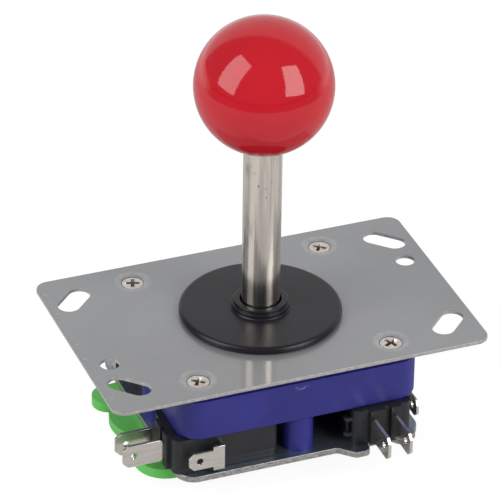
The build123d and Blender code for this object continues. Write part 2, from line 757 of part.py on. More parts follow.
# Base plate: an ear under each switch's terminals, in a pinwheel, and corner ears in front
# and at the back
opening = 2 * room_to_lean(NECK_R, gate_bottom)
hub_r = opening / 2 + GATE_FINGER
half_length = HOUSING_LENGTH / 2 + BASE_PAST_HOUSING[0]
half_width = HOUSING_WIDTH / 2 + BASE_PAST_HOUSING[1]
with BuildPart() as base_plate:
    with BuildSketch(Plane.XY.offset(base_bottom)):
        RectangleRounded(2 * half_length, 2 * half_width, BASE_CORNER)
        for turn in (0, 90, 180, 270):
            if turn % 180 == 0:
                outlines = ear_outlines(half_width, half_length)
            else:
                outlines = ear_outlines(half_length, half_width)[:1]
            for outline in outlines:
                with BuildLine(Plane.XY.rotated((0, 0, turn))):
                    Polyline(*outline, close=True)
                make_face()
        for step in (-BASE_ROUND, 2 * BASE_ROUND, -BASE_ROUND):
            offset(amount=step, kind=Kind.ARC, mode=Mode.REPLACE)
        Circle(hub_r + GATE_RUN, mode=Mode.SUBTRACT)
    extrude(amount=BASE_THICK)
    cut_screw_holes(posts_at, base_bottom, (180, 0, 0))
base_plate.part.label = "base_plate"
export_step(base_plate.part, "parts/base_plate.step")

base_screws = countersunk_screws(posts_at, base_bottom, (180, 0, 0))
base_screws.label = "base_screws"
export_step(base_screws, "parts/base_screws.step")

# Restrictor gate: a plate with a scalloped grip, turned under the base plate and held by
# the lips of its hub, which the corners of the opening split into four fingers
with BuildPart() as restrictor_gate:
    with BuildSketch(Plane.XY.offset(gate_bottom)):
        Circle(GATE_R)
        for x, y, r in GRIP_LOBES:
            with Locations((x, y)):
                Circle(r)
        with BuildLine():
            (first_x, first_y, first_r), (last_x, last_y, last_r) = GRIP_LOBES[0], GRIP_LOBES[-1]
            Polyline(
                (0, GATE_R),
                (first_x, first_y + first_r),
                (last_x, last_y),
                (last_x, last_y - last_r),
                (0, -GATE_R),
                close=True,
            )
        make_face()
    extrude(amount=GATE_THICK)
    fillet(restrictor_gate.faces().sort_by(Axis.Z)[0].edges(), GATE_EDGE)
    with BuildSketch(Plane.XY.offset(gate_top)):
        Circle(hub_r)
    extrude(amount=base_top + SEAT - gate_top)
    with BuildSketch(Plane.XY.offset(base_top + SEAT)):
        Circle(hub_r + GATE_LIP)
    extrude(amount=GATE_LIP_THICK)
    fillet(restrictor_gate.faces().sort_by(Axis.Z)[-1].edges(), GATE_LIP_THICK / 2)
    with BuildSketch(Plane.XY.offset(gate_bottom)):
        RectangleRounded(opening, opening, GATE_OPENING_CORNER)
    extrude(amount=base_top + 2 * GATE_LIP_THICK - gate_bottom, mode=Mode.SUBTRACT)
restrictor_gate.part.label = "restrictor_gate"
export_step(restrictor_gate.part, "parts/restrictor_gate.step")
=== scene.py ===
"""Ball-top arcade lever on its mounting plate, dressed for a product picture.

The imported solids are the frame. Each piece here takes its place from them, in metres.
"""

import json
import math

import bmesh
import bpy
from mathutils import Matrix, Vector

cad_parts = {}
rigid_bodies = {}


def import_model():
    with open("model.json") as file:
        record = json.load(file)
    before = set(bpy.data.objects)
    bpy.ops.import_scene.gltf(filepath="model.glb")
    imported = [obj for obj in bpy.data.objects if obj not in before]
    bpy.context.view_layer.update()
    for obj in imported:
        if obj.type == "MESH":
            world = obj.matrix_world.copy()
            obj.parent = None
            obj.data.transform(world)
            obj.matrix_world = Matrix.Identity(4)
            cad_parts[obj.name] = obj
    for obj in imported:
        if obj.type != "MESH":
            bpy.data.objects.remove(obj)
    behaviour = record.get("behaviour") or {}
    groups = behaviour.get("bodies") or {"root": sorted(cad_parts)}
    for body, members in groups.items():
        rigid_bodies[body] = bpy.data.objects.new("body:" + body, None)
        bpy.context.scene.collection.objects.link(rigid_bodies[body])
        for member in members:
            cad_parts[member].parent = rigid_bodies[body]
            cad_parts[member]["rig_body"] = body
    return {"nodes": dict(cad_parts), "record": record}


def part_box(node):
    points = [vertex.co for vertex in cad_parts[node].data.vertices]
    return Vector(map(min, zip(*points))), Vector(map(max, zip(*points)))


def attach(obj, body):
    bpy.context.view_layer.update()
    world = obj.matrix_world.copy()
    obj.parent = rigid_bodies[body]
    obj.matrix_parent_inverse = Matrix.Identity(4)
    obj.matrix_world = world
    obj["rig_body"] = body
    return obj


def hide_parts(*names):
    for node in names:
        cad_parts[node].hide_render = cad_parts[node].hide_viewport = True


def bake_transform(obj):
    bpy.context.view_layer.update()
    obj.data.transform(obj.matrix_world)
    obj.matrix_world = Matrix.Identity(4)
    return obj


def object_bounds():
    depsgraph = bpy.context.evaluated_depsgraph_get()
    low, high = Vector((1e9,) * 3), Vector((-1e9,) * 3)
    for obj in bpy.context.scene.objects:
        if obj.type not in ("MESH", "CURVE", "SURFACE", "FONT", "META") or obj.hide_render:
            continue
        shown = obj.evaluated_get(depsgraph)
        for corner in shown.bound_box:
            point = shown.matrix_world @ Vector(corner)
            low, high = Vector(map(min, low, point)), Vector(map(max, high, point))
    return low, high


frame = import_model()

cad_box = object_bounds()

MM = 0.001
SIDES = ("front", "right", "back", "left")

# Sizes of the lever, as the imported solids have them
BALL_R = 17.5 * MM
BALL_HEIGHT = 65.75 * MM
BALL_FLAT_R = 6.0 * MM
BALL_FLAT_HEIGHT = BALL_HEIGHT - math.sqrt(BALL_R**2 - BALL_FLAT_R**2)
SHAFT_R = 4.9 * MM
PLATE_HALF_LENGTH = 50.2 * MM
PLATE_SCREW_X = 25.8 * MM
PLATE_SCREW_Y = 24.2 * MM
PLATE_SCREW_TOP = -0.55 * MM
SCREW_HEAD_R = 2.75 * MM
SCREW_R = 1.45 * MM
SCREW_LENGTH = 8.0 * MM
HOUSING_CORNER = 6.0 * MM
BASE_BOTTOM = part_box("base_plate")[0].z
POSTS = ((0.6 * MM, -25.2 * MM), (28.0 * MM, 0.9 * MM))  # two of the four, the others opposite

# How wide the rounds at the sharp edges are
SHEET_ROUND = 0.14 * MM
HOUSING_ROUND = 0.25 * MM
GATE_ROUND = 0.30 * MM
SWITCH_ROUND = 0.18 * MM
TERMINAL_ROUND = 0.10 * MM

# Meshes: what counts as one corner, as one flat face, and as a sharp edge, in degrees
WELD = 0.0005 * MM
FLAT_ANGLE = 0.4
EDGE_ANGLE = 28.0
NODE_ANGLE = 30.0
TURNED_ANGLE = 35.0
SCREW_ANGLE = 32.0
COIL_ANGLE = 40.0


class Finish:
    """A procedural finish, built up around one principled shader."""

    def __init__(self, name, colour, roughness, metallic=0.0, **sockets):
        self.material = bpy.data.materials.new(name)
        self.material.use_nodes = True
        self.tree = self.material.node_tree
        self.shader = self.tree.nodes["Principled BSDF"]
        self.colour = (*colour, 1.0)
        self.give("Base Color", self.colour)
        self.give("Roughness", roughness)
        self.give("Metallic", metallic)
        for socket, value in sockets.items():
            self.give(socket.replace("_", " ").title().replace("Ior", "IOR"), value)
        self.place = self.node("ShaderNodeTexCoord").outputs["Object"]

    def feed(self, socket, value):
        """Links a socket to another one, or sets it to a number or colour."""
        if isinstance(value, bpy.types.NodeSocket):
            self.tree.links.new(value, socket)
        else:
            socket.default_value = value

    def give(self, socket, value):
        """Sets an input of the shader."""
        self.feed(self.shader.inputs[socket], value)

    def node(self, kind, inputs=(), **settings):
        """A new node with its inputs and settings."""
        made = self.tree.nodes.new(kind)
        for key, value in settings.items():
            setattr(made, key, value)
        for socket, value in dict(inputs).items():
            self.feed(made.inputs[socket], value)
        return made

    def moved(self, scale=(1, 1, 1), turn=(0, 0, 0)):
        """The place on the piece, turned and stretched."""
        inputs = {"Vector": self.place, "Rotation": turn, "Scale": scale}
        return self.node("ShaderNodeMapping", inputs).outputs[0]

    def noise(self, scale, detail=2.0, roughness=0.5, vector=None):
        """A noise from 0 to 1, mostly between 0.3 and 0.7."""
        inputs = {
            "Vector": vector or self.place,
            "Scale": scale,
            "Detail": detail,
            "Roughness": roughness,
        }
        return self.node("ShaderNodeTexNoise", inputs).outputs[0]

    def cells(self, scale, vector):
        """How far the nearest of some scattered points is."""
        inputs = {"Vector": vector, "Scale": scale}
        return self.node("ShaderNodeTexVoronoi", inputs).outputs["Distance"]

    def between(self, value, low, high, to_low=0.0, to_high=1.0):
        """A value from low to high, spread smoothly over a new range."""
        inputs = {0: value, 1: low, 2: high, 3: to_low, 4: to_high}
        made = self.node("ShaderNodeMapRange", inputs, interpolation_type="SMOOTHSTEP")
        return made.outputs[0]

    def calc(self, operation, first, second=0.0):
        """A sum in one math node."""
        inputs = {0: first, 1: second}
        return self.node("ShaderNodeMath", inputs, operation=operation).outputs[0]

    def plus(self, first, second):
        return self.calc("ADD", first, second)

    def minus(self, first, second):
        return self.calc("SUBTRACT", first, second)

    def times(self, first, second):
        return self.calc("MULTIPLY", first, second)

    def mixed(self, share, first, second):
        """Two colours, by a share."""
        inputs = {0: share, 6: first, 7: second}
        return self.node("ShaderNodeMix", inputs, data_type="RGBA").outputs[2]

    def mottled(self, noise, dark, light, low=0.3, high=0.7):
        """The finish's colour, from a darker to a lighter tint as a noise rises."""
        share = self.between(noise, low, high)
        return self.mixed(share, tint(self.colour, dark), tint(self.colour, light))

    def roughened(self, noise, least, most):
        """Sets a roughness that rises with a noise."""
        self.give("Roughness", self.between(noise, 0.3, 0.7, least, most))

    def parts(self, vector=None):
        """The x, y and z of a vector."""
        return self.node("ShaderNodeSeparateXYZ", {0: vector or self.place}).outputs

    def upward(self):
        """How level the surface is: 0 on a wall, 1 on a top or a bottom."""
        facing = self.parts(self.node("ShaderNodeNewGeometry").outputs["Normal"])
        return self.calc("ABSOLUTE", facing[2])

    def bump(self, height, distance, strength):
        """Bends the shading normal by a height."""
        inputs = {"Height": height, "Distance": distance, "Strength": strength}
        self.give("Normal", self.node("ShaderNodeBump", inputs).outputs[0])


def tint(colour, factor):
    """A colour made lighter or darker, with its alpha."""
    return (*(min(1.0, c * factor) for c in colour[:3]), 1.0)


def ball_finish():
    """Glossy moulded red, with a slight ripple that bends the reflections."""
    f = Finish("ball_red", (0.62, 0.0135, 0.026), 0.07)
    ripple = f.noise(70, 1.0)
    haze = f.noise(900, 3.0, 0.6)
    depth = f.noise(45)
    f.give("Base Color", f.mottled(depth, 0.93, 1.0))
    f.give("Roughness", f.between(haze, 0.35, 0.75, 0.05, 0.10))
    f.bump(ripple, 0.05 * MM, 0.25)
    return f.material


def shaft_finish():
    """Turned and nickel-plated steel: fine lines along the shaft, dull spots and scratches."""
    f = Finish("shaft_nickel", (0.80, 0.735, 0.67), 0.20, 1.0, anisotropic=0.35)
    dull, dirt = (0.38, 0.33, 0.28, 1), (0.10, 0.085, 0.07, 1)
    f.give("Anisotropic Rotation", 0.25)
    tangent = f.node("ShaderNodeTangent", direction_type="RADIAL", axis="Z")
    f.give("Tangent", tangent.outputs[0])
    lines = f.noise(1500, 4.0, 0.7, f.moved((1, 1, 0.012)))
    broad = f.noise(420, 3.0, 0.6, f.moved((1, 1, 0.05)))
    stains = f.noise(160, 4.0, 0.65, f.moved((1, 1, 0.45)))
    pits = f.cells(650, f.moved((1, 1, 0.6)))
    pitted = f.between(pits, 0.08, 0.16, 1.0, 0.0)
    sparse = f.times(pitted, f.between(f.noise(90), 0.52, 0.62))
    ground = f.mottled(f.plus(lines, broad), 0.80, 1.20, 0.75, 1.25)
    stained = f.mixed(f.between(stains, 0.54, 0.70, 0.0, 0.6), ground, dull)
    f.give("Base Color", f.mixed(sparse, stained, dirt))
    f.give("Roughness", f.between(f.plus(lines, stains), 0.7, 1.35, 0.15, 0.27))
    f.bump(f.plus(lines, f.times(sparse, -2.0)), 0.014 * MM, 0.6)
    return f.material


def plate_finish():
    """Zinc-plated sheet: dull under a clear coat, faintly mottled, paler on the pressed dish round
    each screw, with painted shade in the gap at each screw head.
    """
    colour = (0.30, 0.311, 0.324)
    f = Finish("plate_zinc", colour, 0.45, 0.3, coat_weight=1.0, coat_roughness=0.09)
    # A near-black for the painted shade in the gap round each screw head.
    gap_shade = (0.03, 0.028, 0.025, 1)
    edge_dull, edge_bright = (0.40, 0.38, 0.37, 1), (0.54, 0.52, 0.50, 1)
    cloud = f.noise(38, 4.0, 0.6)
    grain = f.noise(2600, 2.0, 0.6, f.moved((0.05, 1, 1)))
    scratches = f.noise(700, 3.0, 0.75, f.moved((0.03, 1, 1), turn=(0, 0, 0.5)))
    fine = f.times(f.between(scratches, 0.66, 0.72), f.between(f.noise(60), 0.5, 0.62))
    place = f.parts()
    to_screw_x = f.minus(f.calc("ABSOLUTE", place[0]), PLATE_SCREW_X)
    to_screw_y = f.minus(f.calc("ABSOLUTE", place[1]), PLATE_SCREW_Y)
    squares = f.plus(f.calc("POWER", to_screw_x, 2.0), f.calc("POWER", to_screw_y, 2.0))
    from_screw = f.calc("SQRT", squares)
    # Paler, in patches, on the pressed dish round each screw.
    dish = f.between(from_screw, 3.9 * MM, 5.2 * MM, 1.0, 0.0)
    pale_tint = f.times(dish, f.between(f.noise(420, 4.0, 0.7), 0.38, 0.68, 0.3, 0.9))
    # Painted shade: a dark ring in the gap just outside each screw head.
    gap = f.between(from_screw, 2.85 * MM, 3.1 * MM, 0.85, 0.0)
    cut = f.between(f.upward(), 0.25, 0.7, 1.0, 0.0)
    chips = f.between(f.noise(900, 4.0, 0.75), 0.40, 0.62)
    ground = f.mottled(cloud, 0.94, 1.05)
    ground = f.mixed(f.between(grain, 0.4, 0.7, 0.0, 0.12), ground, tint(f.colour, 1.25))
    ground = f.mixed(fine, ground, tint(f.colour, 1.45))
    ground = f.mixed(pale_tint, ground, tint(f.colour, 1.5))
    ground = f.mixed(gap, ground, gap_shade)
    f.give("Base Color", f.mixed(cut, ground, f.mixed(chips, edge_dull, edge_bright)))
    rough = f.plus(f.between(cloud, 0.3, 0.7, 0.42, 0.48), f.times(pale_tint, 0.1))
    f.give("Roughness", rough)
    f.bump(f.plus(f.times(grain, 0.04), f.times(chips, cut)), 0.015 * MM, 0.2)
    return f.material


def base_finish():
    """The base plate's sheet: dark zinc, with a rough bright sheared edge."""
    f = Finish("base_zinc", (0.39, 0.46, 0.54), 0.26, 0.9)
    edge_dull, edge_bright = (0.34, 0.33, 0.32, 1), (0.64, 0.62, 0.60, 1)
    cloud = f.noise(50, 4.0, 0.6)
    cut = f.between(f.upward(), 0.3, 0.75, 1.0, 0.0)
    torn = f.noise(800, 5.0, 0.75, f.moved((1, 1, 2.2)))
    edge = f.mixed(f.between(torn, 0.36, 0.62), edge_dull, edge_bright)
    f.give("Base Color", f.mixed(cut, f.mottled(cloud, 0.9, 1.08), edge))
    rough = f.plus(f.between(cloud, 0.3, 0.7, 0.25, 0.33), f.times(cut, 0.2))
    f.give("Roughness", rough)
    f.bump(f.times(torn, cut), 0.06 * MM, 0.4)
    return f.material


def screw_finish():
    """Bright nickel with patches of brown grease, and painted shade that darkens the driver's
    recess as it goes down.
    """
    f = Finish("screw_nickel", (0.74, 0.70, 0.66), 0.22, 1.0)
    # The second colour is painted shade for the driver's recess.
    greased, recess_shade = (0.34, 0.27, 0.22, 1), (0.22, 0.14, 0.10, 1)
    height = f.parts()[2]
    top = PLATE_SCREW_TOP
    grime = f.noise(1200, 4.0, 0.7)
    # Painted shade: darker below the head's rim, down into the recess; the base plate's screws,
    # far lower, are darkened all over.
    down = f.between(height, top - 0.5 * MM, top - 0.12 * MM, 1.0, 0.0)
    ground = f.mixed(f.between(grime, 0.42, 0.66, 0.0, 0.35), f.colour, greased)
    f.give("Base Color", f.mixed(f.times(down, 0.6), ground, recess_shade))
    f.roughened(grime, 0.16, 0.34)
    f.bump(grime, 0.02 * MM, 0.4)
    return f.material


def disc_finish():
    """Satin black moulding, grained most at its sides, with a few scuffs."""
    f = Finish("disc_black", (0.0125, 0.0128, 0.0175), 0.31, specular_ior_level=0.37)
    grain = f.noise(2400, 3.0, 0.6)
    cloud = f.noise(60, 3.0)
    scuffs = f.noise(500, 4.0, 0.75, f.moved((0.08, 1, 1), turn=(0, 0, 1.1)))
    marks = f.between(scuffs, 0.68, 0.76, 0.0, 0.35)
    f.give("Base Color", f.mixed(marks, f.mottled(cloud, 0.9, 1.1), tint(f.colour, 2.2)))
    f.roughened(cloud, 0.28, 0.34)
    side = f.between(f.upward(), 0.6, 0.97, 1.0, 0.25)
    f.bump(f.times(grain, side), 0.045 * MM, 0.6)
    return f.material


def housing_finish():
    """Blue moulding, satin, with pale rubs and one scuff high on its front."""
    f = Finish("housing_blue", (0.028, 0.028, 0.240), 0.38, specular_ior_level=0.4)
    pale_tint, scuffed = (0.12, 0.12, 0.36, 1), (0.25, 0.27, 0.62, 1)
    scuff_x, scuff_z, front_y = -0.3 * MM, -4.3 * MM, -29.0 * MM
    cloud = f.noise(55, 3.0, 0.55)
    grain = f.noise(1500)
    rubs = f.noise(330, 5.0, 0.75, f.moved((0.5, 0.5, 1)))
    patches = f.noise(48)
    pale = f.times(f.between(rubs, 0.62, 0.70), f.between(patches, 0.60, 0.68))
    x, y, z = f.parts()
    aside = f.calc("ABSOLUTE", f.minus(x, scuff_x))
    above = f.calc("ABSOLUTE", f.minus(z, scuff_z))
    near_x = f.between(aside, 1.4 * MM, 2.2 * MM, 1.0, 0.0)
    near_z = f.between(above, 0.3 * MM, 0.8 * MM, 1.0, 0.0)
    near_scuff = f.times(f.times(near_x, near_z), f.calc("LESS_THAN", y, front_y))
    scribble = f.between(f.noise(900, 3.0, 0.7, f.moved((0.35, 1, 1.3))), 0.52, 0.60)
    scuff = f.times(near_scuff, scribble)
    ground = f.mixed(f.times(pale, 0.4), f.mottled(cloud, 0.88, 1.12), pale_tint)
    f.give("Base Color", f.mixed(f.times(scuff, 0.8), ground, scuffed))
    f.roughened(cloud, 0.33, 0.43)
    f.bump(grain, 0.01 * MM, 0.35)
    return f.material


def switch_finish():
    """Black glass-filled moulding: fine grain and specks of dust."""
    f = Finish("switch_black", (0.018, 0.019, 0.024), 0.46)
    dusty = (0.09, 0.09, 0.10, 1)
    grain = f.noise(1900, 3.0, 0.65)
    cloud = f.noise(90, 3.0, 0.6)
    dust = f.between(f.noise(700, 4.0, 0.8), 0.64, 0.74, 0.0, 0.3)
    f.give("Base Color", f.mixed(dust, f.mottled(cloud, 0.85, 1.25), dusty))
    f.roughened(cloud, 0.40, 0.52)
    f.bump(grain, 0.02 * MM, 0.5)
    return f.material


def terminal_finish():
    """Tinned brass strip: pale and satin, with rolling lines and small marks."""
    f = Finish("terminal_tin", (0.80, 0.76, 0.70), 0.26, 0.95)
    tarnish = (0.30, 0.24, 0.18, 1)
    lines = f.noise(1400, 3.0, 0.65, f.moved((0.1, 0.1, 1)))
    spots = f.noise(800, 4.0, 0.7)
    ground = f.mottled(lines, 0.95, 1.06, 0.35, 0.65)
    f.give("Base Color", f.mixed(f.between(spots, 0.60, 0.76, 0.0, 0.22), ground, tarnish))
    f.roughened(spots, 0.14, 0.20)
    f.bump(lines, 0.002 * MM, 0.15)
    return f.material


def gate_finish():
    """Green moulding, satin, slightly cloudy."""
    f = Finish("gate_green", (0.15, 0.63, 0.125), 0.40)
    cloud = f.noise(60, 3.0, 0.55)
    f.give("Base Color", f.mottled(cloud, 0.92, 1.08))
    f.roughened(cloud, 0.36, 0.44)
    f.bump(f.noise(1500), 0.01 * MM, 0.35)
    return f.material


def plain_moulding(name, colour, roughness):
    """A moulded plastic with cloudy colour and a fine grain."""
    f = Finish(name, colour, roughness)
    cloud = f.noise(80, 3.0, 0.55)
    f.give("Base Color", f.mottled(cloud, 0.9, 1.1))
    f.roughened(cloud, roughness - 0.04, roughness + 0.05)
    f.bump(f.noise(1600), 0.01 * MM, 0.4)
    return f.material


def plain_metal(name, colour, roughness):
    """A drawn or rolled metal with fine lines and dull patches."""
    f = Finish(name, colour, roughness, 1.0)
    lines = f.noise(1600, 3.0, 0.65, f.moved((1, 1, 0.15)))
    cloud = f.noise(200, 3.0, 0.6)
    f.give("Base Color", f.mottled(lines, 0.88, 1.1, 0.35, 0.65))
    f.roughened(cloud, roughness - 0.05, roughness + 0.08)
    f.bump(lines, 0.008 * MM, 0.4)
    return f.material


# Each material slot of the record, with its finish
FINISHES = {
    "ball_plastic": ball_finish(),
    "shaft_steel": shaft_finish(),
    "plate_steel": plate_finish(),
    "base_steel": base_finish(),
    "screw_nickel": screw_finish(),
    "disc_plastic": disc_finish(),
    "housing_plastic": housing_finish(),
    "switch_plastic": switch_finish(),
    "terminal_metal": terminal_finish(),
    "gate_plastic": gate_finish(),
    "washer_plastic": plain_moulding("washer_black", (0.045, 0.045, 0.05), 0.42),
    "pivot_plastic": plain_moulding("pivot_ivory", (0.62, 0.60, 0.54), 0.35),
    "actuator_plastic": plain_moulding("actuator_black", (0.035, 0.036, 0.04), 0.40),
    "plunger_plastic": plain_moulding("plunger_red", (0.42, 0.03, 0.03), 0.40),
    "washer_steel": plain_metal("seat_steel", (0.56, 0.56, 0.57), 0.30),
    "spring_steel": plain_metal("spring_steel", (0.50, 0.49, 0.48), 0.24),
    "clip_steel": plain_metal("clip_blued", (0.16, 0.15, 0.15), 0.32),
    # Painted shade: the blade is coloured near black for the shade it sits in.
    "blade_steel": plain_metal("blade_dark_shade", (0.035, 0.035, 0.04), 0.50),
    "leaf_bronze": plain_metal("leaf_bronze", (0.62, 0.42, 0.20), 0.30),
}
SLOT_OF = {row["node"]: row["material_slot"] for row in frame["record"]["subparts"]}


def put(name, data):
    """A new object in the scene."""
    thing = bpy.data.objects.new(name, data)
    bpy.context.scene.collection.objects.link(thing)
    return thing


def body_of(node):
    """The body that a node of the frame belongs to."""
    return frame["nodes"][node]["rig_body"]


def shown_piece(name, mesh, node):
    """A finished mesh as the piece that stands for a node of the frame."""
    mesh.materials.clear()
    mesh.materials.append(FINISHES[SLOT_OF[node]])
    piece = put(name, mesh)
    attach(piece, body_of(node))
    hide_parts(node)


def baked(thing):
    """The mesh of an object with its modifiers applied, and the object gone."""
    bpy.context.view_layer.update()
    graph = bpy.context.evaluated_depsgraph_get()
    mesh = bpy.data.meshes.new_from_object(thing.evaluated_get(graph), depsgraph=graph)
    bpy.data.objects.remove(thing)
    return mesh


def node_solid(node):
    """A node's solid, ready to be worked on, with its faces joined at their corners."""
    solid = bmesh.new()
    solid.from_mesh(frame["nodes"][node].data)
    bmesh.ops.remove_doubles(solid, verts=solid.verts, dist=WELD)
    return solid


def cut_level(solid, height, **clear):
    """Cuts a solid's faces at a height, and gives the new corners and edges."""
    everything = solid.verts[:] + solid.edges[:] + solid.faces[:]
    return bmesh.ops.bisect_plane(
        solid, geom=everything, plane_co=(0, 0, height), plane_no=(0, 0, 1), **clear
    )["geom_cut"]


def mesh_of(solid, name):
    """The mesh of a solid that is finished."""
    mesh = bpy.data.meshes.new(name)
    solid.to_mesh(mesh)
    solid.free()
    return mesh


def smoothed(mesh, sharp):
    """A mesh with smooth shading, save at the edges that turn by more than an angle."""
    mesh.shade_smooth()
    mesh.set_sharp_from_angle(angle=math.radians(sharp))
    return mesh


def set_back_rim(solid):
    """Sets the top of the housing's outer walls back a little, so a dark gap shows."""
    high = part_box("housing")[1]
    ledge, ledge_rise, depth, spare = -2.86 * MM, 0.16 * MM, 0.66 * MM, 0.1 * MM
    for height in (ledge, ledge + ledge_rise):
        cut_level(solid, height)
    for v in solid.verts:
        past_x = max(abs(v.co.x) - high.x + HOUSING_CORNER, 0.0)
        past_y = max(abs(v.co.y) - high.y + HOUSING_CORNER, 0.0)
        reach = math.hypot(past_x, past_y)
        if v.co.z > ledge + ledge_rise / 2 and reach > HOUSING_CORNER - spare:
            v.co.x -= math.copysign(depth * past_x / reach, v.co.x)
            v.co.y -= math.copysign(depth * past_y / reach, v.co.y)


def eased(node, width, shape=None):
    """A node's solid with its flat faces joined and its sharp edges rounded."""
    solid = node_solid(node)
    bmesh.ops.dissolve_limit(
        solid, angle_limit=math.radians(FLAT_ANGLE), verts=solid.verts, edges=solid.edges
    )
    if shape:
        shape(solid)
    thing = put(node, smoothed(mesh_of(solid, node), EDGE_ANGLE))
    bevel = thing.modifiers.new("Edges", "BEVEL")
    bevel.width = width
    bevel.segments = 3
    bevel.limit_method = "ANGLE"
    bevel.angle_limit = math.radians(EDGE_ANGLE)
    bevel.use_clamp_overlap = True
    flats = thing.modifiers.new("Flats", "WEIGHTED_NORMAL")
    flats.weight = 100
    flats.keep_sharp = True
    shown_piece(node + "_shown", baked(thing), node)


def turned(name, profile, steps):
    """A lathe-turned mesh: profile points (radius, height) go round the lever's axis."""
    solid = bmesh.new()
    rings = []
    for radius, height in profile:
        count = steps if radius > 0 else 1
        angles = [2 * math.pi * i / count for i in range(count)]
        rings.append(
            [solid.verts.new((radius * math.cos(a), radius * math.sin(a), height)) for a in angles]
        )
    for lower, upper in zip(rings, rings[1:]):
        for i in range(steps):
            j = (i + 1) % steps
            corners = [lower[i % len(lower)], lower[j % len(lower)]]
            corners += [upper[j % len(upper)], upper[i % len(upper)]]
            corners = list(dict.fromkeys(corners))
            if len(corners) > 2:
                solid.faces.new(corners)
    bmesh.ops.recalc_face_normals(solid, faces=solid.faces)
    return mesh_of(solid, name)


def arc(centre_radius, centre_height, radius, start, end, steps):
    """Profile points along a circle, by angles in degrees from the outward direction."""
    points = []
    for i in range(steps + 1):
        a = math.radians(start + (end - start) * i / steps)
        points.append((centre_radius + radius * math.cos(a), centre_height + radius * math.sin(a)))
    return points


def make_ball():
    """The ball, with the small dimple that its mould left at the top."""
    bore_r, bore_depth = 3.0 * MM, 6.0 * MM
    dimple_r, dimple_depth = 0.55 * MM, 0.10 * MM
    soft, soft_angle = 0.25 * MM, 0.7
    start = soft_angle - math.degrees(math.acos(BALL_FLAT_R / BALL_R))
    end = math.degrees(math.acos(dimple_r / BALL_R))
    top = BALL_HEIGHT + BALL_R
    profile = [(bore_r, BALL_FLAT_HEIGHT + bore_depth), (bore_r, BALL_FLAT_HEIGHT)]
    profile += [(BALL_FLAT_R - soft, BALL_FLAT_HEIGHT)]
    profile += arc(0, BALL_HEIGHT, BALL_R, start, end, 110)
    profile += [(dimple_r * 0.6, top - 0.5 * dimple_depth), (0, top - dimple_depth)]
    shown_piece("ball", smoothed(turned("ball", profile, 180), TURNED_ANGLE), "ball_top")


def make_shaft():
    """The stem with softened shoulders, and the spindle under it."""
    low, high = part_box("shaft")
    clip_low, clip_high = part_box("retaining_clip")
    stud_r, spindle_r, groove_r = 2.95 * MM, 3.0 * MM, 2.4 * MM
    step_z, top = -9.0 * MM, BALL_FLAT_HEIGHT
    soft, chamfer, gap, groove_gap = 0.15 * MM, 0.6 * MM, 0.02 * MM, 0.05 * MM
    profile = [(0, low.z), (spindle_r - chamfer, low.z), (spindle_r, low.z + chamfer)]
    profile += [(r, clip_low.z - groove_gap) for r in (spindle_r, groove_r)]
    profile += [(groove_r, clip_high.z), (spindle_r, clip_high.z), (spindle_r, step_z)]
    profile += [(SHAFT_R - soft, step_z), (SHAFT_R, step_z + soft)]
    profile += [(SHAFT_R, top - soft), (SHAFT_R - soft, top - gap), (stud_r, top - gap)]
    profile += [(stud_r, high.z - chamfer), (stud_r - chamfer, high.z), (0, high.z)]
    shown_piece("stem", smoothed(turned("stem", profile, 128), TURNED_ANGLE), "shaft")


def make_disc():
    """The dust disc: a full round rim and a collar with two worn steps."""
    low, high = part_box("dust_disc")
    top, step_z = low.z + 2.0 * MM, low.z + 3.2 * MM
    collar_r, upper_r, below_r, mouth_r = 7.5 * MM, 6.9 * MM, 6.04 * MM, 5.27 * MM
    throat = (5.2 * MM, high.z - 0.3 * MM)
    under, rim, soft, fillet, chamfer = 0.7 * MM, 1.1 * MM, 0.28 * MM, 0.25 * MM, 0.12 * MM
    profile = [throat, (below_r, low.z)]
    profile += arc(high.x - under, low.z + under, under, -90, 0, 6)
    profile += arc(high.x - rim, top - rim, rim, 0, 90, 10)
    profile += [(collar_r + fillet, top), (collar_r, top + fillet)]
    profile += arc(collar_r - soft, step_z - soft, soft, 0, 90, 5)
    profile += [(upper_r + 0.05 * MM, step_z), (upper_r, step_z + 0.06 * MM)]
    profile += arc(upper_r - soft, high.z - soft, soft, 0, 90, 5)
    profile += [(mouth_r + chamfer, high.z), (mouth_r, high.z - chamfer), throat]
    disc = smoothed(turned("dust_disc_shown", profile, 192), TURNED_ANGLE)
    shown_piece("dust_disc_shown", disc, "dust_disc")


def make_spring():
    """The centring spring in two lengths that meet above its cup."""
    top = Vector((0, 0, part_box("centring_spring")[1].z))
    foot = Vector((0, 0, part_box("actuator")[1].z - 0.2 * MM))
    middle = (top + foot) / 2
    lengths = (
        ("spring_top", True, ("base", "spring"), (top, middle)),
        ("spring_foot", False, ("spring", "stick"), (middle, foot)),
    )
    for name, upper, bodies, ends in lengths:
        solid = node_solid("centring_spring")
        cut = cut_level(solid, middle.z, clear_inner=upper, clear_outer=not upper)
        rims = [part for part in cut if isinstance(part, bmesh.types.BMEdge)]
        bmesh.ops.holes_fill(solid, edges=rims, sides=0)
        bmesh.ops.recalc_face_normals(solid, faces=solid.faces)
        coil = put(name, smoothed(mesh_of(solid, name), COIL_ANGLE))
        coil.data.materials.append(FINISHES["spring_steel"])
        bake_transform(coil)
        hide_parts("centring_spring")


def driver_punch():
    """The shape that a cross driver leaves in a screw's head, pointing down from zero."""
    top = (2.25 * MM, 0.52 * MM, 0.4 * MM)  # half length, half width and height
    tip = (0.75 * MM, 0.28 * MM, -1.15 * MM)
    solid = bmesh.new()
    for turn in (0, math.pi / 2):
        wing = bmesh.ops.create_cube(solid, size=1.0)["verts"]
        for v in wing:
            length, width, height = top if v.co.z > 0 else tip
            v.co = Vector((math.copysign(length, v.co.x), math.copysign(width, v.co.y), height))
        bmesh.ops.rotate(solid, cent=(0, 0, 0), matrix=Matrix.Rotation(turn, 3, "Z"), verts=wing)
    return mesh_of(solid, "driver_punch")


